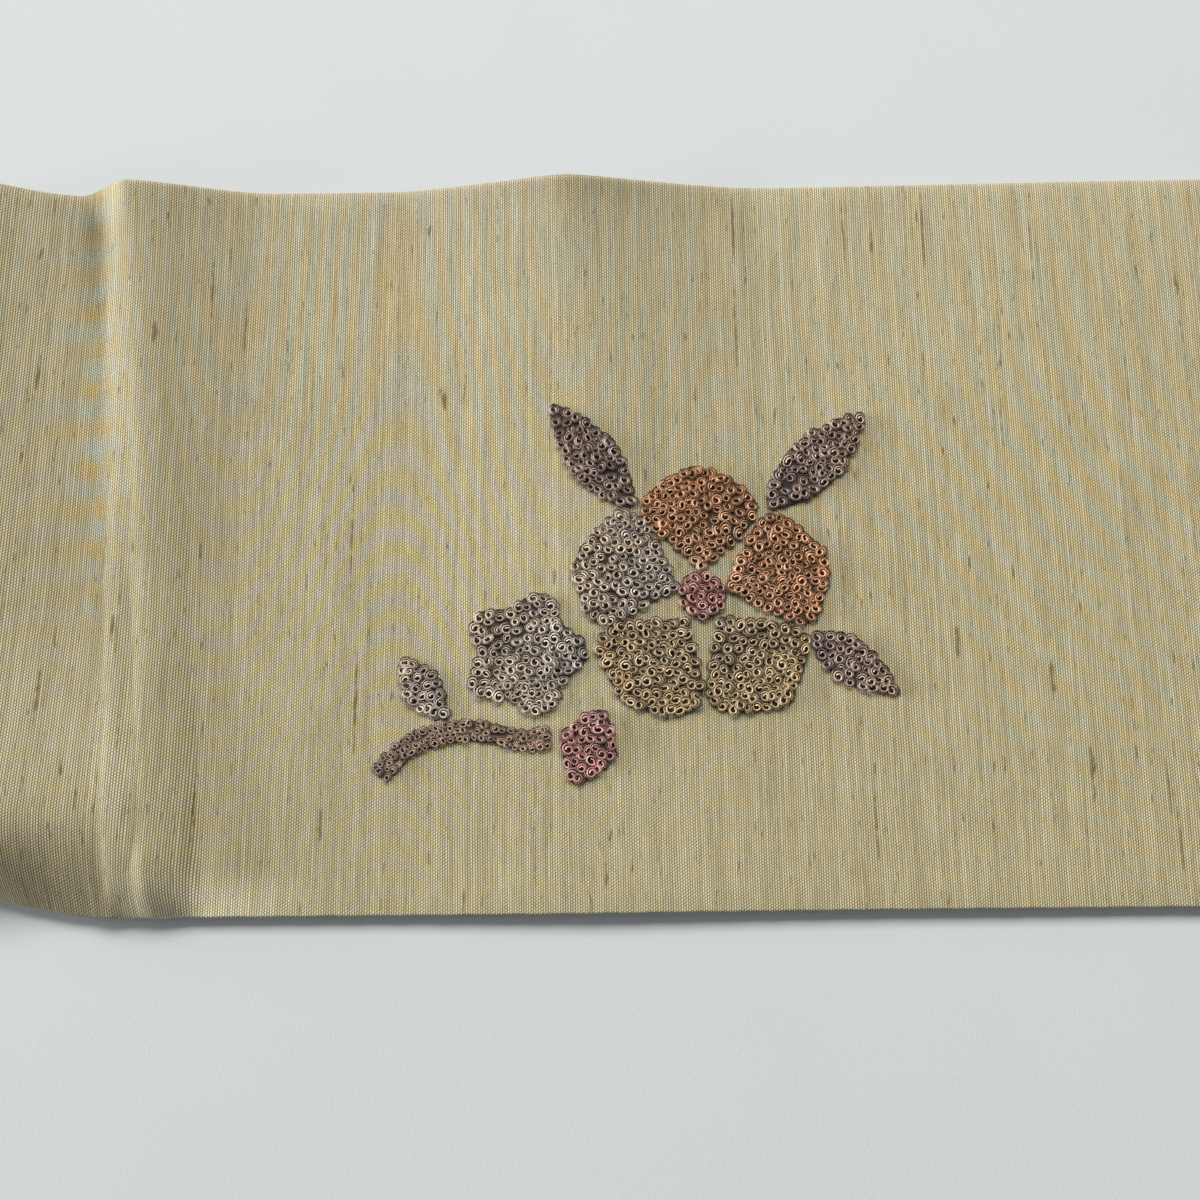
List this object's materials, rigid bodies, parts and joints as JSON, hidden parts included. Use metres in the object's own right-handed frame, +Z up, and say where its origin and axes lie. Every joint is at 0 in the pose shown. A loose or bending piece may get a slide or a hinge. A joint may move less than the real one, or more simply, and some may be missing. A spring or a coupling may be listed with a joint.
{
  "type": "nagoya obi sash",
  "caption": "Long silk obi sash laid out flat, with a wide lined end, a shoulder and a folded half-width sleeve that carries a ring-knot embroidered spray.",
  "frame": {"origin": "middle of the whole sash's outline on the surface it lies on: halfway along its length, on the line of the narrow part's folded edge, at the height of its underside", "axes": "+X along the sash from the wide end to the narrow end, +Y across the sash from the seamed edge towards the folded edge, +Z up, out of the embroidered face"},
  "size_m": [3.5996, 0.31, 0.0179],
  "materials": {
    "silk_face": "slubby plain weave, soft silk sheen",
    "silk_lining": "slubby plain weave, soft silk sheen",
    "thread_salmon": "raised ring knots in twisted silk thread",
    "thread_ivory": "raised ring knots in twisted silk thread",
    "thread_olive": "raised ring knots in twisted silk thread",
    "thread_taupe": "raised ring knots in twisted silk thread",
    "thread_rose": "raised ring knots in twisted silk thread",
    "thread_brown": "raised ring knots in twisted silk thread"
  },
  "bodies": {
    "root": {"tare_face": "silk_face", "tare_lining": "silk_lining", "drum_face": "silk_face", "drum_lining": "silk_lining", "shoulder": "silk_face", "waist": "silk_face", "front": "silk_face", "te_1": "silk_face", "te_2": "silk_face", "te_3": "silk_face", "petal_1": "thread_salmon", "petal_2": "thread_ivory", "petal_3": "thread_olive", "petal_4": "thread_olive", "petal_5": "thread_salmon", "leaf_right": "thread_taupe", "leaf_left": "thread_taupe", "leaf_low": "thread_taupe", "leaf_small": "thread_ivory", "bud": "thread_rose", "blossom_heart": "thread_rose", "plum_blossom": "thread_ivory", "twig": "thread_brown"}
  },
  "joints": []
}
